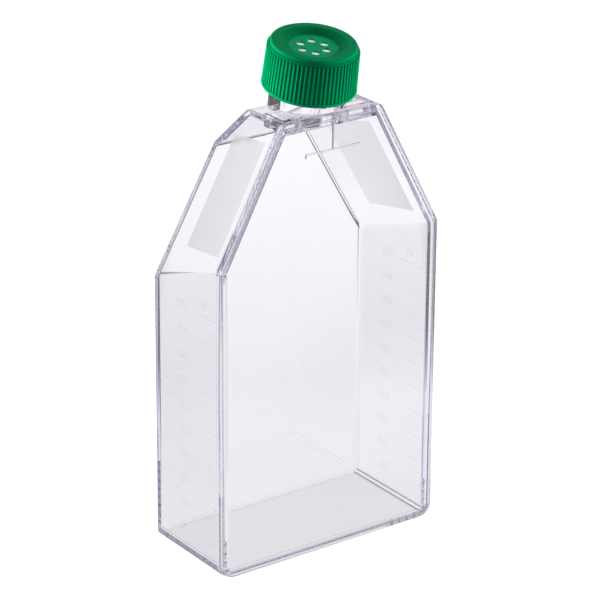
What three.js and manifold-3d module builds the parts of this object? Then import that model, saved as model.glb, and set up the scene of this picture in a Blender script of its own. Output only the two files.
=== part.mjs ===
// Cell culture flask with a canted neck and a vented screw cap.
// Millimetres, +Z up. The flask stands on its end wall; the origin is the centre of that wall's
// outer face. +X is across the flask, -Y faces the welded cover plate, +Y the growth wall.
import * as THREE from 'three';
import * as BufferGeometryUtils from 'three/addons/utils/BufferGeometryUtils.js';
import Module from 'manifold-3d';

const wasm = await Module();
wasm.setup();

// ---- Driving dimensions -------------------------------------------------------------------

const PLATE_WIDTH = 105;
const PLATE_HEIGHT = 187;
const PLATE_SHOULDER = 132.3;
const PLATE_SLOPE = 0.535; // inward run of the plate's slanted side for each millimetre of rise
const PLATE_PANEL = 2;
const PLATE_BORDER = 3; // thickness of the cover plate at its welded border
const PLATE_RIM = 2; // width of the raised rim round the plate's face
const PLATE_RIM_STEP = 0.4;

const DEPTH = 50.8;
const WALL = 2;
const OVERHANG = 1.25; // how far plate and flange stand out past the tray's side walls
const FLANGE = 1.7;
const TRAY_HALF = PLATE_WIDTH / 2 - OVERHANG;
const BLOCK_HALF = 22.4; // half width of the straight-sided top that carries the neck
const SHOULDER_FOOT = 132; // where a shoulder leaves the side wall, at the plate
const SHOULDER_TOP = 187.15; // where it reaches the block, at the plate
const FOOT_FALL = 0.336; // drop of the shoulder's lower fold for each millimetre towards the growth wall
const TOP_FALL = 0.436; // the same at the block: the shoulder is slightly twisted
const DECK_HEIGHT = 185.85;
const DECK_DEPTH = 27; // the flat deck round the neck ends here and the ramp starts

const PLATFORM_BACK = 16.4; // the solid platform at the neck's foot, just proud of the plate's top edge
const PLATFORM_UNDER = 181.7;
const PLATFORM_TOP = 187.4;
const PLATFORM_RADIUS = 1.3;

const FOOT_RADIUS = 1.8; // rounding of the tray's long bottom edges
const BACK_RADIUS = 1.6; // rounding of the edges round the growth wall
const PLATE_FOOT_RADIUS = 5.5;
const PLATE_SHOULDER_RADIUS = 3;
const PLATE_TOP_RADIUS = 2.5;

const NECK_TILT = THREE.MathUtils.degToRad(10);
const NECK_SEAT_Y = 16.67; // where the cap's lower edge plane crosses the neck axis, from the plate's face
const NECK_SEAT_Z = 193.77;
const NECK_RADIUS = 15.3;
const NECK_BORE = 13.3;
const NECK_LIP = 14.9; // height of the pouring lip above the cap's lower edge
const NECK_ROOT = -18; // the bore is cut down to here, well inside the chamber

const CAP_FOOT_RADIUS = 18.9;
const CAP_SHOULDER_RADIUS = 18.3;
const CAP_SKIRT = 18.4; // the grip ribs bend over the shoulder and end here, against the crown
const CAP_ROUND = 1.3;
const CAP_HEIGHT = 19.5;
const CAP_BAND = 1.4; // plain band below the grip ribs
const CAP_CROWN_RADIUS = 17.3;
const CAP_DISH_RADIUS = 13;
const CAP_DISC_RADIUS = 10;
const CAP_DISC_TOP = 17.4;
const CAP_DISC_UNDER = 16.6;
const CAP_SEAT = 15.2; // under side of the ring that seals on the lip
const CAP_INNER_RADIUS = 16.6;
const RIB_COUNT = 70;
const RIB_DEPTH = 0.55;
const VENT_COUNT = 6;
const VENT_RADIUS = 1.7;
const VENT_CIRCLE = 5.4;
const VENT_START = THREE.MathUtils.degToRad(3.5);

const MEMBRANE_RADIUS = 10.6;
const MEMBRANE_UNDER = 15.9;
const MEMBRANE_TOP = 16.3;

const MARK_WIDTH = 0.6; // moulded line mark on the cover plate
const MARK_HEIGHT = 0.3;
const MARK_LEVEL = 172.6;
const MARK_HALF_SPAN = 13;

const ROUND_SEGMENTS = 72;
const ARC_SEGMENTS = 5;
const TWIST_STEPS = 8;
const BEYOND = 10; // cutters run this far past what they cut
const FRONT_Y = -DEPTH / 2;

// ---- Solids -------------------------------------------------------------------------------

/** A closed geometry as a manifold solid. */
function solid(geometry) {
  const bare = geometry.index ? geometry.toNonIndexed() : geometry.clone();
  bare.deleteAttribute('normal');
  bare.deleteAttribute('uv');
  const merged = BufferGeometryUtils.mergeVertices(bare, 1e-4);
  return new wasm.Manifold(new wasm.Mesh({
    numProp: 3,
    vertProperties: new Float32Array(merged.attributes.position.array),
    triVerts: new Uint32Array(merged.index.array),
  }));
}

/** A manifold solid as a flat-shaded geometry. */
function geometryOf(body) {
  const mesh = body.getMesh();
  const geometry = new THREE.BufferGeometry();
  geometry.setAttribute('position', new THREE.BufferAttribute(new Float32Array(mesh.vertProperties), 3));
  geometry.setIndex(new THREE.BufferAttribute(new Uint32Array(mesh.triVerts), 1));
  const flat = geometry.toNonIndexed();
  flat.computeVertexNormals();
  return flat;
}

function unite(...bodies) {
  return bodies.reduce((whole, body) => whole.add(body));
}

function intersect(...bodies) {
  return bodies.reduce((whole, body) => whole.intersect(body));
}

/** A 2-D outline through corners [x, y, radius], each rounded by an arc of its radius. */
function roundedShape(corners) {
  const shape = new THREE.Shape();
  corners.forEach(([x, y, radius], i) => {
    const corner = new THREE.Vector2(x, y);
    const before = corners.at(i - 1);
    const after = corners[(i + 1) % corners.length];
    const back = new THREE.Vector2(before[0], before[1]).sub(corner).normalize();
    const onward = new THREE.Vector2(after[0], after[1]).sub(corner).normalize();
    const move = i === 0 ? 'moveTo' : 'lineTo';
    if (!radius) {
      shape[move](x, y);
      return;
    }
    const halfAngle = Math.acos(THREE.MathUtils.clamp(back.dot(onward), -1, 1)) / 2;
    const reach = radius / Math.tan(halfAngle);
    const start = corner.clone().addScaledVector(back, reach);
    const end = corner.clone().addScaledVector(onward, reach);
    const bisector = back.clone().add(onward).normalize();
    const centre = corner.clone().addScaledVector(bisector, radius / Math.sin(halfAngle));
    const clockwise = back.cross(onward) > 0;
    shape[move](start.x, start.y);
    shape.absarc(
      centre.x,
      centre.y,
      radius,
      start.clone().sub(centre).angle(),
      end.clone().sub(centre).angle(),
      clockwise,
    );
  });
  shape.closePath();
  return shape;
}

function extruded(shape, length, steps = 1) {
  return new THREE.ExtrudeGeometry(shape, {
    depth: length,
    steps,
    bevelEnabled: false,
    curveSegments: ARC_SEGMENTS,
  });
}

/** An outline in the X-Z plane, swept along Y from y0 to y1. */
function acrossDepth(shape, y0, y1, steps = 1) {
  const geometry = extruded(shape, y1 - y0, steps);
  geometry.rotateX(Math.PI / 2);
  geometry.translate(0, y1, 0);
  return geometry;
}

/** An outline in the Y-Z plane, swept along X from -half to half. */
function acrossWidth(shape, half) {
  const geometry = extruded(shape, 2 * half);
  geometry.rotateX(Math.PI / 2);
  geometry.rotateZ(Math.PI / 2);
  geometry.translate(-half, 0, 0);
  return geometry;
}

/** A solid of revolution about Z from a closed [radius, height] profile. */
function turned(profile, segments = ROUND_SEGMENTS) {
  const points = [...profile, profile[0]].map(([radius, height]) => new THREE.Vector2(radius, height));
  const geometry = new THREE.LatheGeometry(points, segments);
  geometry.rotateX(Math.PI / 2);
  return solid(geometry);
}

function rod(radius, bottom, top, segments = ROUND_SEGMENTS) {
  return turned([[0, bottom], [radius, bottom], [radius, top], [0, top]], segments);
}

/** Places a solid drawn about the neck axis, height 0 at the cap's lower edge, in the flask. */
function onNeckAxis(body) {
  const toDegrees = THREE.MathUtils.radToDeg(NECK_TILT);
  return body.rotate([toDegrees, 0, 0]).translate([0, NECK_SEAT_Y, NECK_SEAT_Z]);
}

// Everything below is drawn with Y = 0 on the front of the cover plate and moved to the frame's
// origin when its mesh is made.

// ---- Cover plate --------------------------------------------------------------------------

/** The plate's outline, drawn in by inset. */
function plateOutline(inset) {
  const half = PLATE_WIDTH / 2 - inset;
  const top = PLATE_HEIGHT - inset;
  const slantLength = Math.hypot(1, PLATE_SLOPE);
  const slantFoot = PLATE_SHOULDER - (inset * slantLength - inset) / PLATE_SLOPE;
  const topHalf = half - (top - slantFoot) * PLATE_SLOPE;
  const soften = (radius) => Math.max(radius - inset, 0.6);
  return roundedShape([
    [-half, inset, soften(PLATE_FOOT_RADIUS)],
    [half, inset, soften(PLATE_FOOT_RADIUS)],
    [half, slantFoot, soften(PLATE_SHOULDER_RADIUS)],
    [topHalf, top, soften(PLATE_TOP_RADIUS)],
    [-topHalf, top, soften(PLATE_TOP_RADIUS)],
    [-half, slantFoot, soften(PLATE_SHOULDER_RADIUS)],
  ]);
}

/** A raised line on the plate's panel between two corners of its X-Z box. */
function plateMark(x0, x1, z0, z1) {
  const outline = roundedShape([[x0, z0, 0], [x1, z0, 0], [x1, z1, 0], [x0, z1, 0]]);
  return solid(acrossDepth(outline, PLATE_RIM_STEP - MARK_HEIGHT, PLATE_RIM_STEP + PLATE_PANEL / 2));
}

function coverPlate() {
  const blank = solid(acrossDepth(plateOutline(0), 0, PLATE_BORDER));
  const face = solid(acrossDepth(plateOutline(PLATE_RIM), -BEYOND, PLATE_RIM_STEP));
  const inside = solid(acrossDepth(plateOutline(OVERHANG + WALL), PLATE_RIM_STEP + PLATE_PANEL, BEYOND));
  const half = MARK_WIDTH / 2;
  return unite(
    blank.subtract(face).subtract(inside),
    plateMark(-half, half, MARK_LEVEL - half, PLATE_HEIGHT - PLATE_RIM),
    plateMark(-MARK_HALF_SPAN, MARK_HALF_SPAN, MARK_LEVEL - half, MARK_LEVEL + half),
    plateMark(-MARK_HALF_SPAN - half, -MARK_HALF_SPAN + half, MARK_LEVEL - 2 * MARK_WIDTH, MARK_LEVEL),
  );
}

// ---- Tray with neck -----------------------------------------------------------------------

/** Everything under the two leaning shoulders, whose folds fall towards the growth wall. */
function shoulderPrism(inset) {
  const rise = (SHOULDER_TOP - SHOULDER_FOOT) / (TRAY_HALF - BLOCK_HALF);
  const drop = inset * Math.hypot(1, rise, (FOOT_FALL + TOP_FALL) / 2);
  const heightAt = (x) => SHOULDER_FOOT - drop + (TRAY_HALF - x) * rise;
  const halfAt = (z) => TRAY_HALF - (z + drop - SHOULDER_FOOT) / rise;
  const low = -2 * BEYOND;
  const high = PLATE_HEIGHT + BEYOND;
  const foot = TRAY_HALF - inset;
  const top = BLOCK_HALF - inset;
  const outline = roundedShape([
    [-halfAt(low), low, 0],
    [halfAt(low), low, 0],
    [foot, heightAt(foot), 0],
    [top, heightAt(top), 0],
    [halfAt(high), high, 0],
    [-halfAt(high), high, 0],
    [-top, heightAt(top), 0],
    [-foot, heightAt(foot), 0],
  ]);
  const geometry = acrossDepth(outline, -BEYOND, DEPTH + BEYOND, TWIST_STEPS);
  const position = geometry.attributes.position;
  for (let i = 0; i < position.count; i += 1) {
    const alongShoulder = (TRAY_HALF - Math.abs(position.getX(i))) / (TRAY_HALF - BLOCK_HALF);
    const fall = THREE.MathUtils.lerp(FOOT_FALL, TOP_FALL, alongShoulder);
    position.setZ(i, position.getZ(i) - position.getY(i) * fall);
  }
  return solid(geometry);
}

/** The side view: end wall, growth wall, ramp, deck. */
function sideOutline(inset) {
  const back = DEPTH - inset;
  const deck = DECK_HEIGHT - inset;
  const foldAtBack = SHOULDER_TOP - TOP_FALL * DEPTH;
  const rampSlope = (DECK_HEIGHT - foldAtBack) / (DEPTH - DECK_DEPTH);
  const rampShift = inset * Math.hypot(1, rampSlope);
  const rampAt = (y) => DECK_HEIGHT - (y - DECK_DEPTH) * rampSlope - rampShift;
  const deckEnd = DECK_DEPTH + (DECK_HEIGHT - rampShift - deck) / rampSlope;
  const radius = BACK_RADIUS - inset > 0.4 ? BACK_RADIUS - inset : 0.4;
  return roundedShape([
    [-BEYOND, inset, 0],
    [back, inset, radius],
    [back, rampAt(back), radius],
    [deckEnd, deck, radius],
    [-BEYOND, deck, 0],
  ]);
}

/** The tray's closed form, with every face drawn in by inset. */
function trayForm(inset) {
  const half = TRAY_HALF - inset;
  const high = PLATE_HEIGHT + BEYOND;
  const foot = Math.max(FOOT_RADIUS - inset, 0.4);
  const backRadius = Math.max(BACK_RADIUS - inset, 0.4);
  const frontView = roundedShape([
    [-half, inset, foot],
    [half, inset, foot],
    [half, high, 0],
    [-half, high, 0],
  ]);
  const back = DEPTH - inset;
  const planView = extruded(roundedShape([
    [-half, -BEYOND, 0],
    [half, -BEYOND, 0],
    [half, back, backRadius],
    [-half, back, backRadius],
  ]), high);
  const blockHalf = BLOCK_HALF - inset;
  const block = roundedShape([
    [-blockHalf, -BEYOND, 0],
    [blockHalf, -BEYOND, 0],
    [blockHalf, high, 0],
    [-blockHalf, high, 0],
  ]);
  return intersect(
    solid(acrossDepth(frontView, -BEYOND, DEPTH + BEYOND)),
    solid(planView),
    solid(acrossWidth(sideOutline(inset), PLATE_WIDTH)),
    unite(shoulderPrism(inset), solid(acrossDepth(block, -BEYOND, DEPTH + BEYOND))),
  );
}

/** The solid platform that the neck's front half stands on. */
function platform() {
  return solid(acrossDepth(roundedShape([
    [-BLOCK_HALF, PLATFORM_UNDER, 0],
    [BLOCK_HALF, PLATFORM_UNDER, 0],
    [BLOCK_HALF, PLATFORM_TOP, PLATFORM_RADIUS],
    [-BLOCK_HALF, PLATFORM_TOP, PLATFORM_RADIUS],
  ]), PLATE_BORDER, PLATFORM_BACK));
}

function tray() {
  const flange = solid(acrossDepth(plateOutline(0), PLATE_BORDER, PLATE_BORDER + FLANGE));
  const neck = onNeckAxis(rod(NECK_RADIUS, NECK_ROOT, NECK_LIP));
  const bore = onNeckAxis(rod(NECK_BORE, NECK_ROOT, NECK_LIP + BEYOND));
  const plateSpace = acrossDepth(roundedShape([
    [-PLATE_WIDTH, -BEYOND, 0],
    [PLATE_WIDTH, -BEYOND, 0],
    [PLATE_WIDTH, PLATE_HEIGHT + 0.3, 0],
    [-PLATE_WIDTH, PLATE_HEIGHT + 0.3, 0],
  ]), -2 * BEYOND, PLATE_BORDER);
  return unite(trayForm(0), flange, neck)
    .subtract(trayForm(WALL))
    .add(platform())
    .subtract(bore)
    .subtract(solid(plateSpace));
}

// ---- Vented cap ---------------------------------------------------------------------------

/** The outline of the grip ribs, seen along the cap's axis; their crests are trimmed later. */
function ribOutline() {
  const step = (2 * Math.PI) / RIB_COUNT;
  const root = CAP_FOOT_RADIUS - RIB_DEPTH;
  const crest = CAP_FOOT_RADIUS + RIB_DEPTH;
  const points = [];
  for (let i = 0; i < RIB_COUNT; i += 1) {
    [[0, root], [0.25, crest], [0.75, crest]].forEach(([part, radius]) => {
      const angle = (i + part) * step;
      points.push(new THREE.Vector2(radius * Math.cos(angle), radius * Math.sin(angle)));
    });
  }
  return new THREE.Shape(points);
}

/** A solid core with the grip ribs round it, tapering as the skirt does. */
function ribbedCore() {
  const bottom = CAP_BAND / 2;
  const top = CAP_HEIGHT + 1;
  const geometry = extruded(ribOutline(), top - bottom);
  geometry.translate(0, 0, bottom);
  const position = geometry.attributes.position;
  for (let i = 0; i < position.count; i += 1) {
    const alongSkirt = position.getZ(i) / (CAP_SKIRT - CAP_ROUND);
    const share = THREE.MathUtils.lerp(CAP_FOOT_RADIUS, CAP_SHOULDER_RADIUS, alongSkirt) / CAP_FOOT_RADIUS;
    position.setX(i, position.getX(i) * share);
    position.setY(i, position.getY(i) * share);
  }
  return solid(geometry);
}

function screwCap() {
  const edge = 0.4; // rounding of the crown's outer edge and of the skirt's foot
  const slant = CAP_ROUND * Math.SQRT1_2;
  const envelope = turned([
    [0, 0],
    [CAP_FOOT_RADIUS - edge, 0],
    [CAP_FOOT_RADIUS, edge],
    [CAP_SHOULDER_RADIUS, CAP_SKIRT - CAP_ROUND],
    [CAP_SHOULDER_RADIUS - CAP_ROUND + slant, CAP_SKIRT - CAP_ROUND + slant],
    [CAP_CROWN_RADIUS, CAP_SKIRT],
    [CAP_CROWN_RADIUS, CAP_HEIGHT - edge],
    [CAP_CROWN_RADIUS - edge, CAP_HEIGHT],
    [0, CAP_HEIGHT],
  ], 2 * RIB_COUNT);
  const band = rod(CAP_FOOT_RADIUS + 1, -1, CAP_BAND);
  const dish = turned([
    [0, CAP_DISC_TOP],
    [CAP_DISC_RADIUS, CAP_DISC_TOP],
    [CAP_DISH_RADIUS, CAP_HEIGHT],
    [CAP_DISH_RADIUS, CAP_HEIGHT + BEYOND],
    [0, CAP_HEIGHT + BEYOND],
  ]);
  const hollow = turned([
    [0, -BEYOND],
    [CAP_INNER_RADIUS, -BEYOND],
    [CAP_INNER_RADIUS, CAP_SEAT],
    [MEMBRANE_RADIUS + 0.4, CAP_SEAT],
    [MEMBRANE_RADIUS + 0.4, CAP_DISC_UNDER],
    [0, CAP_DISC_UNDER],
  ]);
  let cap = intersect(envelope, unite(ribbedCore(), band)).subtract(dish).subtract(hollow);
  const vent = rod(VENT_RADIUS, CAP_SEAT, CAP_HEIGHT, 20);
  for (let i = 0; i < VENT_COUNT; i += 1) {
    const angle = VENT_START + (2 * Math.PI * i) / VENT_COUNT;
    cap = cap.subtract(vent.translate([VENT_CIRCLE * Math.cos(angle), VENT_CIRCLE * Math.sin(angle), 0]));
  }
  return cap;
}

// ---- Assembly -----------------------------------------------------------------------------

const clearPlastic = { color: 0xe9e6f2, roughness: 0.05, metalness: 0, transparent: true, opacity: 0.35 };
const greenPlastic = { color: 0x00824a, roughness: 0.4, metalness: 0 };
const whiteMembrane = { color: 0xf4f4f2, roughness: 0.9, metalness: 0 };

const flask = new THREE.Group();
flask.position.y = FRONT_Y;

const closure = new THREE.Group();
closure.position.set(0, NECK_SEAT_Y, NECK_SEAT_Z);
closure.rotation.x = NECK_TILT;
flask.add(closure);

function addPiece(group, name, body, finish) {
  const mesh = new THREE.Mesh(geometryOf(body), new THREE.MeshStandardMaterial(finish));
  mesh.name = name;
  group.add(mesh);
}

addPiece(flask, 'flask_body', tray(), clearPlastic);
addPiece(flask, 'cover_plate', coverPlate(), clearPlastic);
addPiece(closure, 'screw_cap', screwCap(), greenPlastic);
addPiece(closure, 'vent_membrane', rod(MEMBRANE_RADIUS, MEMBRANE_UNDER, MEMBRANE_TOP), whiteMembrane);

export default flask;
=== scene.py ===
import math

import bmesh
import bpy
from mathutils import Matrix, Vector


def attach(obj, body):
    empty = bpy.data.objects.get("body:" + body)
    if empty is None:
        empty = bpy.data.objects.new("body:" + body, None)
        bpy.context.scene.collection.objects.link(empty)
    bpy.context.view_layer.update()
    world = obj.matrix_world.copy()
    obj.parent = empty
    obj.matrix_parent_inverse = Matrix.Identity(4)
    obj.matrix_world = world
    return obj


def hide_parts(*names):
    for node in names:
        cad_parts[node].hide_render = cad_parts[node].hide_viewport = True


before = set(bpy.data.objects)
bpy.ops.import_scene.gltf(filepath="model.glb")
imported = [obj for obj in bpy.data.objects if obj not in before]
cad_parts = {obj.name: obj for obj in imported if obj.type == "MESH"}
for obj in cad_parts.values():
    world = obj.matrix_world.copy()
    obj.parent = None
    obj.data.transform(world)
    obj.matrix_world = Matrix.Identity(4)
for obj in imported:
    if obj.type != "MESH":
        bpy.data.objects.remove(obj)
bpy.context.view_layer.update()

# ---- Sizes ------------------------------------------------------------------------------------
# Millimetres. Pieces are drawn with Y = 0 on the cover plate's front and Z = 0 on the bench,
# or about the neck axis with height 0 at the cap's lower edge, and are placed when they are done.

MM = 0.001
DEPTH = 50.8

PLATE_WIDTH = 105
PLATE_HEIGHT = 187
PLATE_SHOULDER = 132.3
PLATE_SLOPE = 0.535
PLATE_BORDER = 3
PLATE_RIM = 2
PLATE_RIM_STEP = 0.4
PLATE_POCKET = 0.6
PLATE_EDGE = 0.35
PLATE_SIDE_RUN = 0.3
PLATE_CORNERS = (5.5, 3, 2.5)

WALL = 2
OVERHANG = 1.25
FLANGE = 1.7
FLANGE_EDGE = 0.4
# A hairline gap shows that plate and tray are two mouldings.
WELD_LINE = 0.03
TRAY_HALF = PLATE_WIDTH / 2 - OVERHANG
BLOCK_HALF = 22.4
SHOULDER_FOOT = 132
SHOULDER_TOP = 187.15
FOOT_FALL = 0.336
TOP_FALL = 0.436
DECK_HEIGHT = 185.85
DECK_DEPTH = 27
PLATFORM_BACK = 16.4
PLATFORM_UNDER = 181.7
PLATFORM_TOP = 187.4
PLATFORM_RADIUS = 1.3
PLATFORM_EDGE = 0.25
FOOT_RADIUS = 1.8
BACK_RADIUS = 1.6
HOLLOW_RADIUS = 1.0
HOLLOW_FOOT_RADIUS = 2.5
BLOCK_RADIUS = 0.6
SHOULDER_CUTS = 11

NECK_TILT = math.radians(10)
NECK_SEAT = Vector((0, 16.67, 193.77))
NECK_RADIUS = 15.3
NECK_BORE = 13.3
NECK_LIP = 14.9
NECK_ROOT = -18
NECK_EDGE = 0.5

THREAD_PITCH = 3.5
THREAD_TURNS = 1.6
THREAD_REACH = 0.85
THREAD_START = 3.6
THREAD_HALF_WIDTH = 0.9
THREAD_TIP_SHARE = 0.45
THREAD_EDGE = 0.25
THREAD_ROOT = 0.3
THREAD_TURN_STEPS = 72

CAP_FOOT_RADIUS = 18.9
CAP_SHOULDER_RADIUS = 18.3
CAP_SKIRT = 18.4
CAP_ROUND = 1.3
CAP_HEIGHT = 19.5
CAP_BAND = 1.4
CAP_BAND_FOOT_EDGE = 0.7
CAP_BAND_TOP_EDGE = 0.3
CAP_CROWN_RADIUS = 17.3
CAP_DISH_RADIUS = 13.3
CAP_DISC_RADIUS = 10
CAP_GATE_RADIUS = 1.0
CAP_DISC_TOP = 17.4
CAP_DISC_UNDER = 16.6
CAP_SEAT = 15.2
CAP_CROWN_EDGE = 1.0
CAP_DISH_EDGE = 0.6
CAP_DISC_EDGE = 0.8
CAP_SHOULDER_EDGE = 0.4
CAP_INNER_RADIUS = 16.6
CAP_SIDES = 140
SEAL_RADIUS = 13.0
SEAL_WIDTH = 0.8
SEAL_DEPTH = 2
RIB_COUNT = 70
RIB_DEPTH = 0.42
# The ribs' tips stay this far inside the band's radius.
RIB_PLAY = 0.01
RIB_WIDTH = 0.9
RIB_STRETCH = 1.35
RIB_ROOT = 0.6
VENT_COUNT = 6
VENT_RADIUS = 1.7
VENT_CIRCLE = 5.4
VENT_EDGE = 0.2
VENT_START = math.radians(3.5)

MEMBRANE_RADIUS = 10.6
MEMBRANE_PLAY = 0.4
MEMBRANE_EDGE = 0.12
MEMBRANE_UNDER = 16.15
MEMBRANE_TOP = 16.55

MARK_WIDTH = 0.75
MARK_STEM_WIDTH = 1.1
MARK_HEIGHT = 0.3
MARK_ROOT = 1
MARK_LEVEL = 172.6
MARK_HALF_SPAN = 13
MARK_OVERLAP = 0.1

INK_HEIGHT = 0.04
SCALE_TOP = 109.2
SCALE_STEP = 10.85
SCALE_STEPS = 10
SCALE_ML = 50
SCALE_LINE = 0.35
SCALE_FRONT = 6
SCALE_SHORT = 10
SCALE_MIDDLE = 15.5
SCALE_LONG = 25
SCALE_NUMBER_Y = 30.3
SCALE_NUMBER_SIZE = 5.2
SCALE_UNIT_Y = 15.5
SCALE_UNIT_RISE = 4.9
SCALE_UNIT_SIZE = 6.2

FROST_CENTRE = Vector((34.87, 22.86, 154.0))
FROST_ACROSS = Vector((2.75, -26.2, 3.85))
FROST_DOWN = Vector((23.25, -0.58, -42.15))

# Cutters run BEYOND what they cut. NEAR and LOOSE are the slack with which places are found.
BEYOND = 10
NEAR = 0.01
LOOSE = 0.05

# Degrees by which a surface turns at an edge that gets rounded, and at a square corner.
EDGE_TURN = 20
CORNER_TURN = 60


# ---- Modelling by hand ------------------------------------------------------------------------

def object_mode():
    if bpy.context.object and bpy.context.object.mode != "OBJECT":
        bpy.ops.object.mode_set(mode="OBJECT")
    bpy.ops.object.select_all(action="DESELECT")


def only(piece):
    """Object mode, with this piece alone selected."""
    object_mode()
    piece.select_set(True)
    bpy.context.view_layer.objects.active = piece


def pick(piece, kind, wanted):
    """Edit mode, with only the wanted vertices, edges or faces selected."""
    only(piece)
    bpy.ops.object.mode_set(mode="EDIT")
    bpy.ops.mesh.select_mode(type=kind)
    bpy.ops.mesh.select_all(action="DESELECT")
    mesh = bmesh.from_edit_mesh(piece.data)
    for part in {"VERT": mesh.verts, "EDGE": mesh.edges, "FACE": mesh.faces}[kind]:
        if wanted(part):
            part.select_set(True)
    mesh.select_flush_mode()
    bmesh.update_edit_mesh(piece.data)


def pick_all(piece):
    only(piece)
    bpy.ops.object.mode_set(mode="EDIT")
    bpy.ops.mesh.select_all(action="SELECT")


def trim(piece, point, normal, fill=True):
    """Cuts away what lies beyond a plane."""
    pick_all(piece)
    bpy.ops.mesh.bisect(
        plane_co=point,
        plane_no=Vector(normal).normalized(),
        use_fill=fill,
        clear_outer=True,
        threshold=1e-5,
    )


def combine(piece, tool, operation):
    only(piece)
    step = piece.modifiers.new("join", "BOOLEAN")
    step.operation = operation
    step.solver = "MANIFOLD"
    step.object = tool
    bpy.ops.object.modifier_apply(modifier=step.name)
    bpy.data.objects.remove(tool)


def place(piece, move=(0, 0, 0), turn=(0, 0, 0), size=(1, 1, 1)):
    """Moves, turns and sizes the mesh and leaves its object at the origin."""
    only(piece)
    piece.location = move
    piece.rotation_euler = turn
    piece.scale = size
    bpy.ops.object.transform_apply(location=True, rotation=True, scale=True)


def close_seams(piece):
    """Merges doubles and points every face outwards."""
    pick_all(piece)
    bpy.ops.mesh.remove_doubles(threshold=1e-4)
    bpy.ops.mesh.normals_make_consistent(inside=False)
    object_mode()


def sheet(name, half, low, high, y):
    """An upright sheet in the X-Z plane."""
    object_mode()
    bpy.ops.mesh.primitive_plane_add(size=1)
    piece = bpy.context.object
    piece.name = name
    place(piece, turn=(math.pi / 2, 0, 0))
    place(piece, move=(0, y, (low + high) / 2), size=(2 * half, 1, high - low))
    return piece


def bar(name, low, high):
    """A square bar between two corners."""
    object_mode()
    bpy.ops.mesh.primitive_cube_add(size=1)
    piece = bpy.context.object
    piece.name = name
    low, high = Vector(low), Vector(high)
    place(piece, move=(low + high) / 2, size=high - low)
    return piece


def rod(name, radius, low, high, sides=96):
    """A round bar on the Z axis."""
    object_mode()
    bpy.ops.mesh.primitive_cylinder_add(vertices=sides, radius=radius, depth=high - low)
    piece = bpy.context.object
    piece.name = name
    place(piece, move=(0, 0, (low + high) / 2))
    return piece


def ring_edge(radius, height, slack=2 * NEAR):
    """Picks the edges of one circle about the Z axis."""
    def wanted(edge):
        return all(
            abs(v.co.z - height) < slack and abs(v.co.to_2d().length - radius) < slack
            for v in edge.verts
        )
    return wanted


def bevel(offset, segments, kind="EDGES"):
    bpy.ops.mesh.bevel(
        offset=offset,
        segments=segments,
        affect=kind,
        profile=0.5,
        clamp_overlap=False,
    )


def finish_mesh(piece, angle=28):
    """Smooth rounds and flat flats: normals follow the larger faces."""
    close_seams(piece)
    only(piece)
    bpy.ops.object.shade_smooth_by_angle(angle=math.radians(angle))
    step = piece.modifiers.new("flats", "WEIGHTED_NORMAL")
    step.keep_sharp = True
    step.weight = 100
    bpy.ops.object.modifier_apply(modifier=step.name)


def onto_neck(piece):
    """From the neck's own frame to the flask's."""
    place(piece, move=NECK_SEAT, turn=(NECK_TILT, 0, 0))


def into_frame(piece):
    """From drawing millimetres to the CAD frame, in metres."""
    place(piece, move=(0, -DEPTH / 2 * MM, 0), size=(MM, MM, MM))


# ---- Cover plate ------------------------------------------------------------------------------

def plate_sheet(name, y, inset=0):
    """The plate's outline with its six rounded corners, drawn in by inset."""
    half = PLATE_WIDTH / 2 - inset
    top = PLATE_HEIGHT - inset
    shoulder = PLATE_SHOULDER - inset * (math.hypot(1, PLATE_SLOPE) - 1) / PLATE_SLOPE
    top_half = half - (top - shoulder) * PLATE_SLOPE
    piece = sheet(name, half, inset, top, y)
    for side in (-1, 1):
        trim(piece, (side * half, y, shoulder), (side, 0, PLATE_SLOPE), fill=False)
    slant = math.atan(PLATE_SLOPE)
    turns = (math.pi / 2, slant, math.pi / 2 - slant)
    places = ((half, inset), (half, shoulder), (top_half, top))
    for radius, turn, (x, z) in zip(PLATE_CORNERS, turns, places):
        pick(piece, "VERT", lambda v: abs(abs(v.co.x) - x) < LOOSE and abs(v.co.z - z) < LOOSE)
        bevel(max(radius - inset, 2 * PLATE_SIDE_RUN) * math.tan(turn / 2), 6, kind="VERTICES")
    return piece


def plate_slab(name, y0, y1, inset=0):
    """A slab with the plate's outline."""
    piece = plate_sheet(name, y0, inset)
    pick_all(piece)
    bpy.ops.mesh.extrude_region_move(TRANSFORM_OT_translate={"value": (0, y1 - y0, 0)})
    pick_all(piece)
    bpy.ops.mesh.normals_make_consistent(inside=False)
    return piece


def plate_recess(start, face, inset, depth):
    """A shallow pan that is cut out of one face of the plate, with sloping sides."""
    piece = plate_slab("recess", start, face, inset - PLATE_SIDE_RUN)
    inwards = math.copysign(1, depth)
    pick(piece, "FACE", lambda f: f.normal.y * inwards > 0.99)
    bpy.ops.mesh.inset(thickness=PLATE_SIDE_RUN, depth=0)
    bpy.ops.transform.translate(value=(0, depth, 0))
    return piece


def outline_edge(y):
    """Picks the edges that run round the plate's outline at one depth."""
    return lambda edge: all(abs(v.co.y - y) < NEAR for v in edge.verts)


def plate_mark(x0, x1, z0, z1):
    """One stroke of the moulded mark, a low rounded ridge on the panel."""
    front = PLATE_RIM_STEP - MARK_HEIGHT
    piece = bar("mark", (x0, front, z0), (x1, PLATE_RIM_STEP + MARK_ROOT, z1))
    pick(piece, "EDGE", outline_edge(front))
    bevel(min(x1 - x0, z1 - z0) / 2 - 2 * NEAR, 6)
    return piece


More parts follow.
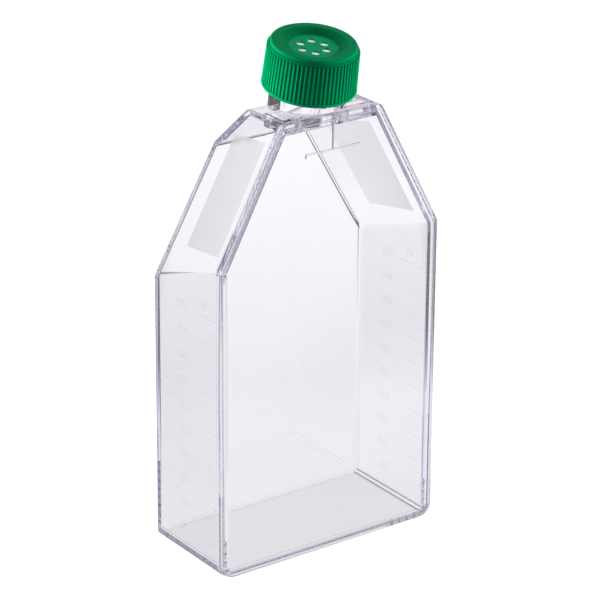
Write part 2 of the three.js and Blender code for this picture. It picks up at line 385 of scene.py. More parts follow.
def make_plate():
    piece = plate_slab("cover_plate_moulding", 0, PLATE_BORDER)
    pick(piece, "EDGE", outline_edge(0))
    bevel(PLATE_EDGE, 3)
    face = plate_recess(-BEYOND, 0, PLATE_RIM, PLATE_RIM_STEP)
    combine(piece, face, "DIFFERENCE")
    pocket = plate_recess(PLATE_BORDER + BEYOND, PLATE_BORDER, OVERHANG + WALL, -PLATE_POCKET)
    combine(piece, pocket, "DIFFERENCE")
    half = MARK_WIDTH / 2
    stem = MARK_STEM_WIDTH / 2
    end = MARK_HALF_SPAN
    for stroke in (
        (-stem, stem, MARK_LEVEL - half, PLATE_HEIGHT - PLATE_RIM - half),
        (-end, end, MARK_LEVEL - half, MARK_LEVEL + half),
        (-end - half, -end + half, MARK_LEVEL - 2 * MARK_WIDTH, MARK_LEVEL + MARK_OVERLAP),
    ):
        combine(piece, plate_mark(*stroke), "UNION")
    finish_mesh(piece)
    into_frame(piece)
    return piece


# ---- Tray with neck ---------------------------------------------------------------------------

RISE = (SHOULDER_TOP - SHOULDER_FOOT) / (TRAY_HALF - BLOCK_HALF)


def shoulder_height(x, y, inset):
    """Height of the leaning shoulder face, drawn in by inset."""
    share = (TRAY_HALF - x) / (TRAY_HALF - BLOCK_HALF)
    fall = FOOT_FALL + (TOP_FALL - FOOT_FALL) * share
    drop = inset * math.hypot(1, RISE, (FOOT_FALL + TOP_FALL) / 2)
    return SHOULDER_FOOT - drop + (TRAY_HALF - x) * RISE - y * fall


def chamber_form(name, inset):
    """The tray's closed form, with every face drawn in by inset and its edges still sharp.
    It starts in front of the plate and is cut back to it later."""
    front = -BEYOND / 2 - inset
    half = TRAY_HALF - inset
    top = BLOCK_HALF - inset
    back = DEPTH - inset
    foot_height = shoulder_height(half, front, inset)
    top_height = shoulder_height(top, front, inset)
    piece = sheet(name, half, inset, top_height, front)
    for side in (-1, 1):
        lean = (side * (top_height - foot_height), 0, half - top)
        trim(piece, (side * half, front, foot_height), lean, fill=False)
    pick_all(piece)
    bpy.ops.mesh.extrude_region_move(TRANSFORM_OT_translate={"value": (0, back - front, 0)})

    def at_back(v, x):
        return v.co.y > back - NEAR and abs(abs(v.co.x) - x) < NEAR and v.co.z > BEYOND

    for x in (half, top):
        pick(piece, "VERT", lambda v: at_back(v, x))
        drop = shoulder_height(x, front, inset) - shoulder_height(x, back, inset)
        bpy.ops.transform.translate(value=(0, 0, -drop))
    pick_all(piece)
    bpy.ops.mesh.normals_make_consistent(inside=False)

    # The block between the shoulders rises past the deck and is cut to the ramp and the deck.
    pick(piece, "FACE", lambda f: f.normal.z > 0.7 and abs(f.calc_center_median().x) < 1)
    bpy.ops.mesh.extrude_region_move(TRANSFORM_OT_translate={"value": (0, 0, BEYOND)})
    bpy.ops.transform.resize(value=(1, 1, 0), center_override=(0, 0, top_height + BEYOND))
    pick(piece, "FACE", lambda f: abs(f.normal.x) > 0.6 and f.normal.z > 0.2)
    bpy.ops.mesh.subdivide(number_cuts=SHOULDER_CUTS)
    ramp_slope = (DECK_HEIGHT - SHOULDER_TOP + TOP_FALL * DEPTH) / (DEPTH - DECK_DEPTH)
    ramp_shift = inset * math.hypot(1, ramp_slope)
    trim(piece, (0, DECK_DEPTH, DECK_HEIGHT - ramp_shift), (0, ramp_slope, 1))
    trim(piece, (0, 0, DECK_HEIGHT - inset), (0, 0, 1))
    pick_all(piece)
    bpy.ops.mesh.remove_doubles(threshold=0.02)
    bpy.ops.mesh.normals_make_consistent(inside=False)
    return piece


def turn_of(edge):
    """How far the surface turns at an edge, in degrees: below zero where it is hollow."""
    if len(edge.link_faces) != 2:
        return 0
    return math.degrees(edge.calc_face_angle_signed())


def weigh(piece, weight, wanted):
    pick(piece, "EDGE", wanted)
    bpy.ops.transform.edge_bevelweight(value=weight)


def round_form(piece, inset, foot, edge):
    """Rounds the long bottom edges by foot, the block's sides lightly, and the rest by edge."""
    def in_front(e):
        return max(v.co.y for v in e.verts) < 0

    def is_foot(e):
        low_outside = all(v.co.z < BEYOND and abs(v.co.x) > BLOCK_HALF for v in e.verts)
        runs_back = abs(e.verts[0].co.y - e.verts[1].co.y) > BEYOND
        return low_outside and runs_back and turn_of(e) > CORNER_TURN

    def is_block(e):
        half = BLOCK_HALF - inset
        deck = DECK_HEIGHT - inset
        on_side = all(abs(abs(v.co.x) - half) < NEAR and v.co.z > SHOULDER_FOOT for v in e.verts)
        on_deck = all(abs(v.co.x) > half - NEAR and v.co.z > deck - NEAR for v in e.verts)
        return (on_side or on_deck) and not in_front(e) and turn_of(e) > EDGE_TURN

    def is_edge(e):
        return turn_of(e) > EDGE_TURN and not (in_front(e) or is_foot(e) or is_block(e))

    weigh(piece, 1.0, is_foot)
    weigh(piece, edge / foot, is_edge)
    weigh(piece, BLOCK_RADIUS / foot, is_block)
    only(piece)
    step = piece.modifiers.new("rounding", "BEVEL")
    step.limit_method = "WEIGHT"
    step.width = foot
    step.segments = 6
    step.use_clamp_overlap = False
    bpy.ops.object.modifier_apply(modifier=step.name)


def thread(name, radius, reach, start):
    """A rounded thread ridge that runs out into the wall at both ends."""
    tip = radius + reach
    base = radius - math.copysign(THREAD_ROOT, reach)
    low, high = start - THREAD_HALF_WIDTH, start + THREAD_HALF_WIDTH
    piece = sheet(name, abs(tip - base) / 2, low, high, 0)
    place(piece, move=((tip + base) / 2, 0, 0))
    pick(piece, "VERT", lambda v: abs(v.co.x - tip) < NEAR)
    bpy.ops.transform.resize(value=(1, 1, THREAD_TIP_SHARE), center_override=(tip, 0, start))
    bevel(THREAD_EDGE, 2, kind="VERTICES")
    pick_all(piece)
    bpy.ops.mesh.delete(type="ONLY_FACE")
    only(piece)
    step = piece.modifiers.new("helix", "SCREW")
    step.angle = 2 * math.pi * THREAD_TURNS
    step.screw_offset = THREAD_PITCH * THREAD_TURNS
    step.steps = step.render_steps = round(THREAD_TURN_STEPS * THREAD_TURNS)
    bpy.ops.object.modifier_apply(modifier=step.name)
    pick(piece, "EDGE", lambda e: len(e.link_faces) == 1)
    bpy.ops.mesh.edge_face_add()
    pick_all(piece)
    bpy.ops.mesh.normals_make_consistent(inside=False)
    object_mode()
    return piece


def neck_tube():
    """The threaded neck, solid until the bore is cut."""
    piece = rod("neck", NECK_RADIUS, NECK_ROOT, NECK_LIP)
    pick(piece, "EDGE", ring_edge(NECK_RADIUS, NECK_LIP))
    bevel(NECK_EDGE, 3)
    combine(piece, thread("neck_thread", NECK_RADIUS, THREAD_REACH, THREAD_START), "UNION")
    onto_neck(piece)
    return piece


def neck_platform():
    """The solid platform at the neck's foot, just proud of the plate's top edge."""
    half = BLOCK_HALF

    def is_top_side(e):
        return all(v.co.z > PLATFORM_TOP - NEAR and abs(v.co.x) > half - NEAR for v in e.verts)

    piece = bar(
        "platform",
        (-half, PLATE_BORDER + WELD_LINE, PLATFORM_UNDER),
        (half, PLATFORM_BACK, PLATFORM_TOP),
    )
    pick(piece, "EDGE", is_top_side)
    bevel(PLATFORM_RADIUS, 5)
    pick(piece, "EDGE", lambda e: all(v.co.y > PLATFORM_BACK - NEAR for v in e.verts))
    bevel(PLATFORM_EDGE, 2)
    return piece


def make_tray():
    """Chamber, flange, neck and platform, open at the front where the plate is welded on."""
    piece = chamber_form("flask_tray", 0)
    round_form(piece, 0, FOOT_RADIUS, BACK_RADIUS)
    hollow = chamber_form("chamber", WALL)
    round_form(hollow, WALL, HOLLOW_FOOT_RADIUS, HOLLOW_RADIUS)
    flange = plate_slab("flange", 0, PLATE_BORDER + FLANGE)
    pick(flange, "EDGE", outline_edge(PLATE_BORDER + FLANGE))
    bevel(FLANGE_EDGE, 3)
    bore = rod("bore", NECK_BORE, NECK_ROOT, NECK_LIP + BEYOND)
    onto_neck(bore)
    combine(piece, flange, "UNION")
    combine(piece, neck_tube(), "UNION")
    combine(piece, hollow, "DIFFERENCE")
    combine(piece, neck_platform(), "UNION")
    combine(piece, bore, "DIFFERENCE")
    plate_space = bar(
        "plate_space",
        (-PLATE_WIDTH, -BEYOND, -BEYOND),
        (PLATE_WIDTH, PLATE_BORDER + WELD_LINE, PLATE_HEIGHT + 2 * NEAR),
    )
    combine(piece, plate_space, "DIFFERENCE")
    finish_mesh(piece)
    into_frame(piece)
    return piece


# ---- Vented cap -------------------------------------------------------------------------------

def facing(up, low_radius, high_radius, height):
    """Picks level faces that face up or down at one height, between two radii."""
    def wanted(face):
        centre = face.calc_center_median()
        return (
            face.normal.z * up > 0.9
            and abs(centre.z - height) < LOOSE
            and low_radius <= centre.to_2d().length <= high_radius
        )
    return wanted


def grip_rib():
    """One grip rib: a round-topped ridge that leans with the skirt and bends over its shoulder."""
    low = CAP_BAND - RIB_ROOT
    high = CAP_SKIRT - CAP_ROUND
    lean = math.atan((CAP_FOOT_RADIUS - CAP_SHOULDER_RADIUS) / CAP_SKIRT)
    piece = rod("rib", RIB_WIDTH / 2, low, high, sides=10)
    place(piece, size=(RIB_STRETCH, 1, 1))
    outwards = CAP_FOOT_RADIUS - RIB_PLAY - RIB_WIDTH / 2 * RIB_STRETCH
    place(piece, turn=(0, -lean, 0), move=(outwards, 0, 0))
    pick(piece, "FACE", lambda f: f.normal.z > 0.9)
    bpy.ops.mesh.spin(
        steps=4,
        angle=math.pi / 2 - lean,
        center=(CAP_SHOULDER_RADIUS - CAP_ROUND, 0, high),
        axis=(0, -1, 0),
    )
    pick_all(piece)
    bpy.ops.mesh.normals_make_consistent(inside=False)
    return piece


def copies_round(piece, count, start=0.0):
    """Copies a piece round the Z axis, each with its own mesh, and joins them."""
    copies = []
    for i in range(count):
        copy = piece.copy()
        copy.data = piece.data.copy()
        bpy.context.scene.collection.objects.link(copy)
        place(copy, turn=(0, 0, start + 2 * math.pi * i / count))
        copies.append(copy)
    bpy.data.objects.remove(piece)
    only(copies[0])
    for copy in copies:
        copy.select_set(True)
    bpy.ops.object.join()
    return copies[0]


def step_in(width, rise):
    """Insets the picked face and moves what is left of it up or down."""
    bpy.ops.mesh.inset(thickness=width, depth=0)
    bpy.ops.transform.translate(value=(0, 0, rise))


def extrude_up(rise):
    bpy.ops.mesh.extrude_region_move(TRANSFORM_OT_translate={"value": (0, 0, rise)})


def cap_blank():
    """Skirt, crown and dish, smooth and solid below."""
    root = CAP_FOOT_RADIUS - RIB_DEPTH
    shoulder = CAP_SHOULDER_RADIUS - RIB_DEPTH
    top = CAP_SKIRT - RIB_DEPTH
    piece = rod("vented_cap", root, 0, top, CAP_SIDES)
    pick(piece, "FACE", facing(1, 0, 1, top))
    shrink = shoulder / root
    bpy.ops.transform.resize(value=(shrink, shrink, 1), center_override=(0, 0, top))
    step_in(shoulder - CAP_CROWN_RADIUS, 0)
    extrude_up(CAP_HEIGHT - top)
    step_in(CAP_CROWN_RADIUS - CAP_DISH_RADIUS, 0)
    step_in(CAP_DISH_RADIUS - CAP_DISC_RADIUS, CAP_DISC_TOP - CAP_HEIGHT)
    step_in(CAP_DISC_RADIUS - CAP_GATE_RADIUS, 0)
    step_in(CAP_GATE_RADIUS / 3, -CAP_GATE_RADIUS / 5)
    for radius, height, offset, segments in (
        (CAP_CROWN_RADIUS, CAP_HEIGHT, CAP_CROWN_EDGE, 5),
        (CAP_DISH_RADIUS, CAP_HEIGHT, CAP_DISH_EDGE, 4),
        (CAP_DISC_RADIUS, CAP_DISC_TOP, CAP_DISC_EDGE, 4),
        (shoulder, top, CAP_SHOULDER_EDGE, 3),
    ):
        pick(piece, "EDGE", ring_edge(radius, height, LOOSE))
        bevel(offset, segments)
    return piece


def cap_band():
    """The plain band at the foot of the skirt, rounded below."""
    piece = rod("band", CAP_FOOT_RADIUS, 0, CAP_BAND, CAP_SIDES)
    pick(piece, "EDGE", ring_edge(CAP_FOOT_RADIUS, 0))
    bevel(CAP_BAND_FOOT_EDGE, 4)
    pick(piece, "EDGE", ring_edge(CAP_FOOT_RADIUS, CAP_BAND))
    bevel(CAP_BAND_TOP_EDGE, 2)
    return piece


def cap_hollow():
    """The space under the crown, which leaves the sealing ring standing below the membrane's pocket."""
    piece = rod("hollow", CAP_INNER_RADIUS, -BEYOND, CAP_SEAT, CAP_SIDES)
    pick(piece, "FACE", facing(1, 0, 1, CAP_SEAT))
    step_in(CAP_INNER_RADIUS - SEAL_RADIUS, 0)
    step_in(SEAL_WIDTH, 0)
    step_in(SEAL_RADIUS - SEAL_WIDTH - MEMBRANE_RADIUS - MEMBRANE_PLAY, 0)
    extrude_up(CAP_DISC_UNDER - CAP_SEAT)
    pick(piece, "FACE", facing(1, SEAL_RADIUS - SEAL_WIDTH, SEAL_RADIUS, CAP_SEAT))
    extrude_up(-SEAL_DEPTH)
    return piece


def vent_cutter():
    """One vent, with a lead-in that leaves a rounded edge on the disc."""
    piece = rod("vent", VENT_RADIUS, CAP_SEAT, CAP_DISC_TOP - VENT_EDGE, sides=32)
    pick(piece, "FACE", facing(1, 0, 1, CAP_DISC_TOP - VENT_EDGE))
    for share, rise in ((0.15, 0.6), (0.5, 0.3), (1.0, 0.1)):
        radius = VENT_RADIUS + share * VENT_EDGE
        extrude_up(rise * VENT_EDGE)
        grow = radius / VENT_RADIUS
        bpy.ops.transform.resize(value=(grow, grow, 1), center_override=(0, 0, 0))
    extrude_up(BEYOND)
    place(piece, move=(VENT_CIRCLE, 0, 0))
    return piece


def make_cap():
    """The screw cap with its grip ribs, vents, sealing ring and thread."""
    piece = cap_blank()
    combine(piece, cap_band(), "UNION")
    combine(piece, copies_round(grip_rib(), RIB_COUNT), "UNION")
    combine(piece, cap_hollow(), "DIFFERENCE")
    combine(piece, copies_round(vent_cutter(), VENT_COUNT, VENT_START), "DIFFERENCE")
    start = THREAD_START + THREAD_PITCH / 2
    combine(piece, thread("cap_thread", CAP_INNER_RADIUS, -THREAD_REACH, start), "UNION")
    finish_mesh(piece, angle=35)
    onto_neck(piece)
    into_frame(piece)
    return piece


def make_membrane():
    """The filter disc in the pocket under the vents."""
    piece = rod("filter_membrane", MEMBRANE_RADIUS, MEMBRANE_UNDER, MEMBRANE_TOP)
    for height in (MEMBRANE_UNDER, MEMBRANE_TOP):
        pick(piece, "EDGE", ring_edge(MEMBRANE_RADIUS, height))
        bevel(MEMBRANE_EDGE, 2)
    finish_mesh(piece)
    onto_neck(piece)
    into_frame(piece)
    return piece


# ---- Volume scale -----------------------------------------------------------------------------

def scale_text(words, size, y, z, side):
    """A printed word or number, upright on a side wall and read from outside the flask."""
    object_mode()
    bpy.ops.object.text_add()
    piece = bpy.context.object
    piece.data.body = words
    piece.data.size = size
    piece.data.align_x = "CENTER"
    piece.data.align_y = "CENTER"
    piece.data.extrude = INK_HEIGHT / 2
    piece.data.resolution_u = 3
    only(piece)
    bpy.ops.object.convert(target="MESH")
    place(piece, turn=(math.pi / 2, 0, side * math.pi / 2), move=(0, y, z))
    return piece


def scale_line(end, z):
    """A printed line from near the flange to its end."""
    half = SCALE_LINE / 2
    piece = bar("scale_line", (-INK_HEIGHT / 2, SCALE_FRONT, z - half), (INK_HEIGHT / 2, end, z + half))
    pick(piece, "EDGE", lambda e: abs(e.verts[0].co.x - e.verts[1].co.x) > INK_HEIGHT / 2)
    bevel(SCALE_LINE / 3, 2)
    return piece


def make_scale(side):
    """The volume scale printed on one side wall: numbered steps, and finer marks between them."""
    parts = [
        scale_text("ml", SCALE_UNIT_SIZE, SCALE_UNIT_Y, SCALE_TOP + SCALE_UNIT_RISE, side),
        scale_line(SCALE_LONG, SCALE_TOP),
    ]
    for step in range(SCALE_STEPS):
        level = SCALE_TOP - step * SCALE_STEP
        number = str((SCALE_STEPS - step) * SCALE_ML)
        parts.append(scale_text(number, SCALE_NUMBER_SIZE, SCALE_NUMBER_Y, level, side))
        if step:
            parts.append(scale_line(SCALE_MIDDLE, level))
        parts.append(scale_line(SCALE_SHORT, level - SCALE_STEP / 2))
    piece = parts[0]
    only(piece)
    for part in parts:
        part.select_set(True)
    bpy.ops.object.join()
    piece.name = "volume_scale_right" if side > 0 else "volume_scale_left"
    place(piece, move=(side * (TRAY_HALF + INK_HEIGHT), 0, 0))
    close_seams(piece)
    into_frame(piece)
    return piece


# ---- Materials --------------------------------------------------------------------------------

POLYSTYRENE = (0.975, 0.966, 0.985, 1)
POLYSTYRENE_IOR = 1.59
POLYSTYRENE_DEPTH = (0.80, 0.76, 0.90, 1)
POLYSTYRENE_DENSITY = 6.0
FROST_ROUGHNESS = 0.225
FROST_SOFT_ACROSS = 0.004
FROST_SOFT_DOWN = 0.002

GREEN = (0.0, 0.248, 0.088)
# Painted light on the cap: a paler disc as painted backlight, darker dish, crown and rounding as
# painted shade.
GREEN_DISC_PAINTED_BACKLIGHT = (0.006, 0.31, 0.124)
GREEN_DISH_PAINTED_SHADE = (0.0, 0.130, 0.038)
GREEN_CROWN_PAINTED_SHADE = (0.0, 0.195, 0.068)
GREEN_ROUND_PAINTED_SHADE = (0.0, 0.150, 0.053)
GREEN_SHADE = (0.80, 0.80, 0.80, 1)
GREEN_ROUGHNESS = (0.34, 0.46)
GREEN_GLOSS = 0.01
GREEN_GRAIN = 0.02 * MM

MEMBRANE_WHITE = (0.97, 0.97, 0.97, 1)
MEMBRANE_SHADE = (0.90, 0.91, 0.90, 1)
MEMBRANE_ROUGHNESS = 0.9
# Strength of the membrane's painted glow, which stands in for light passing through it.
MEMBRANE_PAINTED_GLOW = 0.3
MEMBRANE_FIBRE = 0.03 * MM

INK = (0.14, 0.13, 0.18, 1)
INK_SHADE = (0.10, 0.09, 0.14, 1)
INK_COVER = (0.04, 0.065)
INK_ROUGHNESS = 0.6

WHITE = (1, 1, 1, 1)


def new_material(name):
    material = bpy.data.materials.new(name)
    material.use_nodes = True
    tree = material.node_tree
    return material, tree, tree.nodes["Principled BSDF"]


def feed(tree, socket, value):
    """Links another node's output to a socket, or sets the socket to a plain value."""
    if isinstance(value, bpy.types.NodeSocket):
        tree.links.new(value, socket)
    else:
        socket.default_value = value


def maths(tree, operation, first, second=None):
    node = tree.nodes.new("ShaderNodeMath")
    node.operation = operation
    feed(tree, node.inputs[0], first)
    if second is not None:
        feed(tree, node.inputs[1], second)
    return node.outputs[0]


def vector_maths(tree, operation, vector, second=None):
    node = tree.nodes.new("ShaderNodeVectorMath")
    node.operation = operation
    tree.links.new(vector, node.inputs[0])
    if second is not None:
        node.inputs[1].default_value = second
    return node


def dot(tree, vector, direction):
    """How far a vector reaches along a direction."""
    return vector_maths(tree, "DOT_PRODUCT", vector, direction).outputs["Value"]


def ranged(tree, value, low, high, start=0.0, end=1.0):
    """Goes from low to high as the value goes from start to end."""
    node = tree.nodes.new("ShaderNodeMapRange")
    node.inputs["From Min"].default_value = start
    node.inputs["From Max"].default_value = end
    node.inputs["To Min"].default_value = low
    node.inputs["To Max"].default_value = high
    tree.links.new(value, node.inputs["Value"])
    return node.outputs["Result"]


def blend(tree, factor, first, second, kind="MIX"):
    """Goes from the first colour to the second as the factor goes from 0 to 1."""
    node = tree.nodes.new("ShaderNodeMix")
    node.data_type = "RGBA"
    node.blend_type = kind
    feed(tree, node.inputs["Factor"], factor)
    feed(tree, node.inputs["A"], first)
    feed(tree, node.inputs["B"], second)
    return node.outputs["Result"]


def own_place(tree):
    """A point's place in its object's own metres."""
    return tree.nodes.new("ShaderNodeTexCoord").outputs["Object"]


def noise(tree, scale, detail, stretch=(1, 1, 1)):
    mapping = tree.nodes.new("ShaderNodeMapping")
    mapping.inputs["Scale"].default_value = stretch
    tree.links.new(own_place(tree), mapping.inputs["Vector"])
    node = tree.nodes.new("ShaderNodeTexNoise")
    node.inputs["Scale"].default_value = scale
    node.inputs["Detail"].default_value = detail
    tree.links.new(mapping.outputs[0], node.inputs["Vector"])
    return node.outputs["Fac"]


def bump(tree, shader, height, distance, strength=1.0):
    node = tree.nodes.new("ShaderNodeBump")
    node.inputs["Strength"].default_value = strength
    node.inputs["Distance"].default_value = distance
    tree.links.new(height, node.inputs["Height"])
    tree.links.new(node.outputs[0], shader.inputs["Normal"])


def frosted_panel(tree):
    """1 on the outer faces of the two frosted writing panels and 0 elsewhere.
    The panel is a parallelogram: a point's share along each side comes from dot products."""
    centre = (FROST_CENTRE - Vector((0, DEPTH / 2, 0))) * MM
    side, slope = FROST_ACROSS * MM, FROST_DOWN * MM
    normal = side.cross(slope).normalized()
    along_side = slope.cross(normal) / side.dot(slope.cross(normal))
    along_slope = side.cross(normal) / slope.dot(side.cross(normal))

    # Both panels are found as one, with x counted as the distance from the middle plane.
    parts = tree.nodes.new("ShaderNodeSeparateXYZ")
    tree.links.new(own_place(tree), parts.inputs[0])
    point = tree.nodes.new("ShaderNodeCombineXYZ")
    tree.links.new(maths(tree, "ABSOLUTE", parts.outputs[0]), point.inputs[0])
    tree.links.new(parts.outputs[1], point.inputs[1])
    tree.links.new(parts.outputs[2], point.inputs[2])
    inside = None
    for axis, half, soft in (
        (along_side, 0.5, FROST_SOFT_ACROSS),
        (along_slope, 0.5, FROST_SOFT_DOWN),
        (normal, WALL * MM * 0.6, WALL * MM * 0.1),
    ):
        share = maths(tree, "SUBTRACT", dot(tree, point.outputs[0], axis), centre.dot(axis))
        within = ranged(tree, maths(tree, "ABSOLUTE", share), 1, 0, half - soft, half + soft)
        inside = within if inside is None else maths(tree, "MULTIPLY", inside, within)
    return inside


def clear_polystyrene():
    """Clear moulded polystyrene, faintly lavender in its depth, frosted on the writing panels."""
    material, tree, shader = new_material("clear_polystyrene")
    shader.inputs["Base Color"].default_value = POLYSTYRENE
    shader.inputs["Transmission Weight"].default_value = 1.0
    shader.inputs["IOR"].default_value = POLYSTYRENE_IOR
    frost = frosted_panel(tree)
    tree.links.new(ranged(tree, frost, 0.0, FROST_ROUGHNESS), shader.inputs["Roughness"])
    absorb = tree.nodes.new("ShaderNodeVolumeAbsorption")
    absorb.inputs["Color"].default_value = POLYSTYRENE_DEPTH
    absorb.inputs["Density"].default_value = POLYSTYRENE_DENSITY
    tree.links.new(absorb.outputs[0], tree.nodes["Material Output"].inputs["Volume"])
    return material


def from_neck_axis(tree):
    """Distance from the neck axis, as a share of the cap's foot radius."""
    mapping = tree.nodes.new("ShaderNodeMapping")
    mapping.vector_type = "TEXTURE"
    mapping.inputs["Location"].default_value = (NECK_SEAT - Vector((0, DEPTH / 2, 0))) * MM
    mapping.inputs["Rotation"].default_value = (NECK_TILT, 0, 0)
    size = CAP_FOOT_RADIUS * MM
    mapping.inputs["Scale"].default_value = (size, size, size)
    tree.links.new(own_place(tree), mapping.inputs["Vector"])
    level = vector_maths(tree, "MULTIPLY", mapping.outputs[0], (1, 1, 0))
    return vector_maths(tree, "LENGTH", level.outputs[0]).outputs["Value"]


def colour_steps(tree, value, steps):
    """Colours at growing distances, blended in between."""
    node = tree.nodes.new("ShaderNodeValToRGB")
    ramp = node.color_ramp
    while len(ramp.elements) < len(steps):
        ramp.elements.new(1.0)
    for element, (position, colour) in zip(ramp.elements, steps):
        element.position = position
        element.color = (*colour, 1)
    tree.links.new(value, node.inputs["Fac"])
    return node.outputs["Color"]


def green_polyolefin():
    """Satin moulded green polyolefin: painted backlight on the disc, painted shade on the dish, crown
    and rounding.
    """
    material, tree, shader = new_material("green_polyolefin")
    disc = CAP_DISC_RADIUS / CAP_FOOT_RADIUS
    rim = CAP_DISH_RADIUS / CAP_FOOT_RADIUS
    crown = CAP_CROWN_RADIUS / CAP_FOOT_RADIUS
    skirt = CAP_SHOULDER_RADIUS / CAP_FOOT_RADIUS
    # Painted light: the disc is paler as painted backlight; the dish, crown and rounding are darker as
    # painted shade.
    colour = colour_steps(tree, from_neck_axis(tree), (
        (0.0, GREEN_DISC_PAINTED_BACKLIGHT),
        (disc - 0.04, GREEN_DISC_PAINTED_BACKLIGHT),
        (disc + 0.01, GREEN_DISH_PAINTED_SHADE),
        (rim - 0.02, GREEN_DISH_PAINTED_SHADE),
        (rim + 0.03, GREEN_CROWN_PAINTED_SHADE),
        (crown - 0.02, GREEN_CROWN_PAINTED_SHADE),
        (crown + 0.02, GREEN_ROUND_PAINTED_SHADE),
        (skirt - 0.02, GREEN_ROUND_PAINTED_SHADE),
        (skirt, GREEN),
        (1.0, GREEN),
    ))
    mottled = blend(tree, noise(tree, 160, 3), colour, GREEN_SHADE, "MULTIPLY")
    tree.links.new(mottled, shader.inputs["Base Color"])
    roughness = ranged(tree, noise(tree, 900, 2), *GREEN_ROUGHNESS)
    tree.links.new(roughness, shader.inputs["Roughness"])
    shader.inputs["Specular IOR Level"].default_value = GREEN_GLOSS
    bump(tree, shader, noise(tree, 2600, 3), GREEN_GRAIN, strength=0.5)
    return material


def white_membrane():
    """A matt white filter membrane with a fine fibrous surface.
    It has a painted glow, an emission that stands in for light coming through it from inside the clear
    neck."""
    material, tree, shader = new_material("white_membrane")
    fibres = noise(tree, 5000, 4, stretch=(1, 0.35, 1))
    colour = blend(tree, fibres, MEMBRANE_SHADE, MEMBRANE_WHITE)
    tree.links.new(colour, shader.inputs["Base Color"])
    shader.inputs["Roughness"].default_value = MEMBRANE_ROUGHNESS
    # Painted glow: the membrane emits a little light of its own.
    shader.inputs["Emission Color"].default_value = WHITE
    shader.inputs["Emission Strength"].default_value = MEMBRANE_PAINTED_GLOW
    bump(tree, shader, fibres, MEMBRANE_FIBRE)
    return material


def scale_ink():
    """Faint grey print that lets the wall show through."""
    material, tree, shader = new_material("scale_ink")
    cover = noise(tree, 1500, 2)
    tree.links.new(blend(tree, cover, INK_SHADE, INK), shader.inputs["Base Color"])
    tree.links.new(ranged(tree, cover, *INK_COVER), shader.inputs["Alpha"])
    shader.inputs["Roughness"].default_value = INK_ROUGHNESS
    return material


def wear(piece, material):
    piece.data.materials.clear()
    piece.data.materials.append(material)


# ---- Object -----------------------------------------------------------------------------------

clear = clear_polystyrene()
ink = scale_ink()
for piece, material, body, node, slot in (
    (make_tray(), clear, "flask", "flask_body", "clear_plastic"),
    (make_plate(), clear, "flask", "cover_plate", "clear_plastic"),
    (make_scale(-1), ink, "flask", None, "clear_plastic"),
    (make_scale(1), ink, "flask", None, "clear_plastic"),
    (make_membrane(), white_membrane(), "vent", "vent_membrane", "white_membrane"),
    (make_cap(), green_polyolefin(), "cap", "screw_cap", "green_plastic"),
):
    wear(piece, material)
    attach(piece, body)
    if node:
        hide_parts(node)


# ---- Studio -----------------------------------------------------------------------------------
# Metres. Glows and paper shades are set apart for what the camera sees, for what is seen through
# the clear walls, for what they mirror, and for the light that falls on the flask.

AZIMUTH = math.radians(-35.877)
ELEVATION = math.radians(22.441)
ROLL = math.radians(0.396)
AIM = Vector((-0.548, -4.6, 102.385)) * MM
DISTANCE = 1213.7 * MM
LENS = 180.92
SENSOR = 36

FLOOR_SIZE = 6
FLOOR_DROP = 0.2 * MM
FLOOR_ROUGHNESS = 0.9
FLOOR_PAPER = 0.25
FLOOR_PAPER_SEEN = 0.15
FLOOR_PAPER_THROUGH = 0.05
FLOOR_PAPER_MIRRORED = 0.05
FLOOR_GLOW_SEEN = 0.9
FLOOR_GLOW_THROUGH = 0.955
FLOOR_GLOW_MIRRORED = 0.05

# Where each patch of the pool fades out, and how bright it is at the start and end of that.
POOL_EDGE = (0.064, 0.10)
POOL_FRONT = (-0.03, 0.05)
POOL_FRONT_GLOW = 0.85
POOL_SIDE = (0.09, 0.17)
POOL_SIDE_GLOW = (0.95, 0.01)
POOL_SIDE_TINT = (0.74, 0.68, 1.0, 1)
POOL_REACH = (0.15, 0.45)
POOL_REACH_GLOW = (0.94, 1.12)

WORLD_GLOW = 0.65
WORLD_FRONT = (0.37, 0.34, 0.52, 1)
WORLD_EDGE = (-0.1, 0.7)

# Light goes round inside the clear walls many times before it leaves them.
LIGHT_BOUNCES = 400


def make_camera():
    turn = (
        Matrix.Rotation(AZIMUTH, 3, "Z")
        @ Matrix.Rotation(math.pi / 2 - ELEVATION, 3, "X")
        @ Matrix.Rotation(ROLL, 3, "Z")
    )
    data = bpy.data.cameras.new("camera")
    data.lens = LENS
    data.sensor_width = SENSOR
    camera = bpy.data.objects.new("camera", data)
    camera.location = AIM + turn @ Vector((0, 0, DISTANCE))
    camera.rotation_euler = turn.to_euler()
    bpy.context.scene.collection.objects.link(camera)
    bpy.context.scene.camera = camera


def by_ray(tree, otherwise, **rays):
    """A value for each named kind of ray, and one for all the others."""
    paths = tree.nodes.new("ShaderNodeLightPath")
    through = paths.outputs["Is Transmission Ray"]
    kinds = {
        "camera": paths.outputs["Is Camera Ray"],
        "through": through,
        "mirrored": maths(tree, "SUBTRACT", paths.outputs["Is Glossy Ray"], through),
    }
    total = otherwise
    for kind, value in rays.items():
        change = maths(tree, "SUBTRACT", value, otherwise)
        total = maths(tree, "ADD", total, maths(tree, "MULTIPLY", kinds[kind], change))
    return total


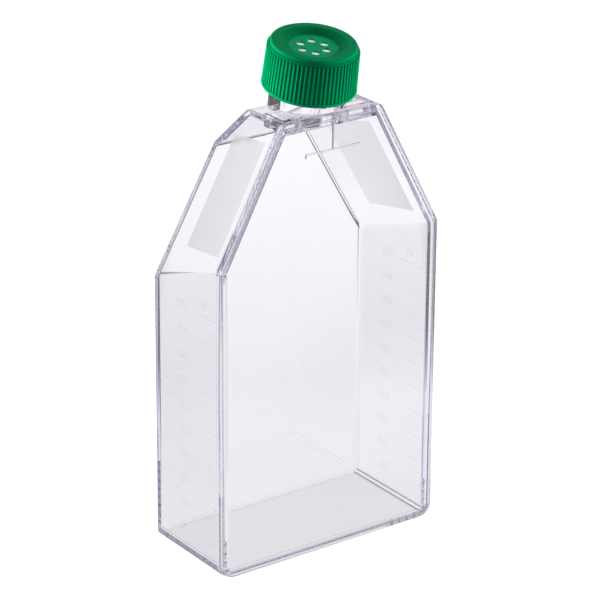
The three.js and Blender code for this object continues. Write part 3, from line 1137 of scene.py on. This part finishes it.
def pool_glow(tree):
    """The pool of light on the floor: a strip along the camera's heading, a patch in front of the
    flask and a round one under it. Gives the first two, for the tint, and then all three."""
    across = dot(tree, own_place(tree), (math.cos(AZIMUTH), math.sin(AZIMUTH), 0))
    behind = dot(tree, own_place(tree), (-math.sin(AZIMUTH), math.cos(AZIMUTH), 0))
    aside = maths(tree, "ABSOLUTE", across)
    beam = ranged(tree, aside, 1, 0, *POOL_EDGE)
    pool = maths(tree, "MAXIMUM", beam, ranged(tree, behind, POOL_FRONT_GLOW, 0, *POOL_FRONT))
    squares = maths(tree, "ADD", maths(tree, "POWER", aside, 2), maths(tree, "POWER", behind, 2))
    side_glow = ranged(tree, maths(tree, "SQRT", squares), *POOL_SIDE_GLOW, *POOL_SIDE)
    reach = ranged(tree, behind, *POOL_REACH_GLOW, *POOL_REACH)
    return pool, maths(tree, "MULTIPLY", reach, maths(tree, "MAXIMUM", pool, side_glow))


def make_floor():
    """Pale paper that reads white to the camera and keeps the shadow.
    Through the clear walls it is a bright pool that dims to either side, so curved edges darken."""
    object_mode()
    bpy.ops.mesh.primitive_plane_add(size=FLOOR_SIZE, location=(0, 0, -FLOOR_DROP))
    floor = bpy.context.object
    floor.name = "floor"
    material, tree, shader = new_material("floor_paper")
    paper = by_ray(
        tree,
        FLOOR_PAPER,
        camera=FLOOR_PAPER_SEEN,
        through=FLOOR_PAPER_THROUGH,
        mirrored=FLOOR_PAPER_MIRRORED,
    )
    tree.links.new(paper, shader.inputs["Base Color"])
    shader.inputs["Roughness"].default_value = FLOOR_ROUGHNESS
    shader.inputs["Specular IOR Level"].default_value = 0.0
    pool, pool_brightness = pool_glow(tree)
    glow = by_ray(
        tree,
        0.0,
        camera=FLOOR_GLOW_SEEN,
        through=maths(tree, "MULTIPLY", pool_brightness, FLOOR_GLOW_THROUGH),
        mirrored=FLOOR_GLOW_MIRRORED,
    )
    tree.links.new(glow, shader.inputs["Emission Strength"])
    tint = blend(tree, by_ray(tree, pool, camera=1.0), POOL_SIDE_TINT, WHITE)
    tree.links.new(tint, shader.inputs["Emission Color"])
    wear(floor, material)


def make_world():
    """White behind the flask and above it, dim in front, so its edges draw dark lines."""
    world = bpy.data.worlds.new("studio")
    bpy.context.scene.world = world
    world.use_nodes = True
    tree = world.node_tree
    background = tree.nodes["Background"]
    heading = tree.nodes.new("ShaderNodeTexCoord").outputs["Generated"]
    frontness = dot(tree, heading, (math.sin(AZIMUTH), -math.cos(AZIMUTH), 0))
    front = ranged(tree, frontness, 0, 1, *WORLD_EDGE)
    dimmed = maths(tree, "MULTIPLY", front, by_ray(tree, 1.0, camera=0.0))
    tree.links.new(blend(tree, dimmed, WHITE, WORLD_FRONT), background.inputs["Color"])
    tree.links.new(by_ray(tree, WORLD_GLOW, camera=1.0), background.inputs["Strength"])


def make_lamp(name, size, spot, aim, power, mirrored=False):
    """A softbox. It isn't seen through the clear walls, and only a mirrored one shows on them."""
    data = bpy.data.lights.new(name, "AREA")
    data.shape = "RECTANGLE"
    data.size, data.size_y = size
    data.energy = power
    lamp = bpy.data.objects.new(name, data)
    lamp.location = spot
    lamp.rotation_euler = (Vector(aim) - Vector(spot)).to_track_quat("-Z", "Y").to_euler()
    lamp.visible_glossy = mirrored
    lamp.visible_transmission = False
    bpy.context.scene.collection.objects.link(lamp)


make_camera()
make_floor()
make_world()
make_lamp("left_softbox", size=(0.5, 0.7), spot=(-0.8, 0.6, 0.22), aim=(0, 0, 0.2), power=39)
make_lamp("right_softbox", size=(0.5, 0.7), spot=(0.8, -0.6, 0.22), aim=(0, 0, 0.2), power=25)
make_lamp(
    "back_softbox",
    size=(0.5, 0.5),
    spot=(-0.42, 0.82, 0.62),
    aim=(0, 0, 0.02),
    power=2.2,
    mirrored=True,
)
bpy.context.scene.view_settings.view_transform = "Standard"
bpy.context.scene.cycles.max_bounces = LIGHT_BOUNCES
bpy.context.scene.cycles.transmission_bounces = LIGHT_BOUNCES
bpy.context.scene.cycles.glossy_bounces = LIGHT_BOUNCES
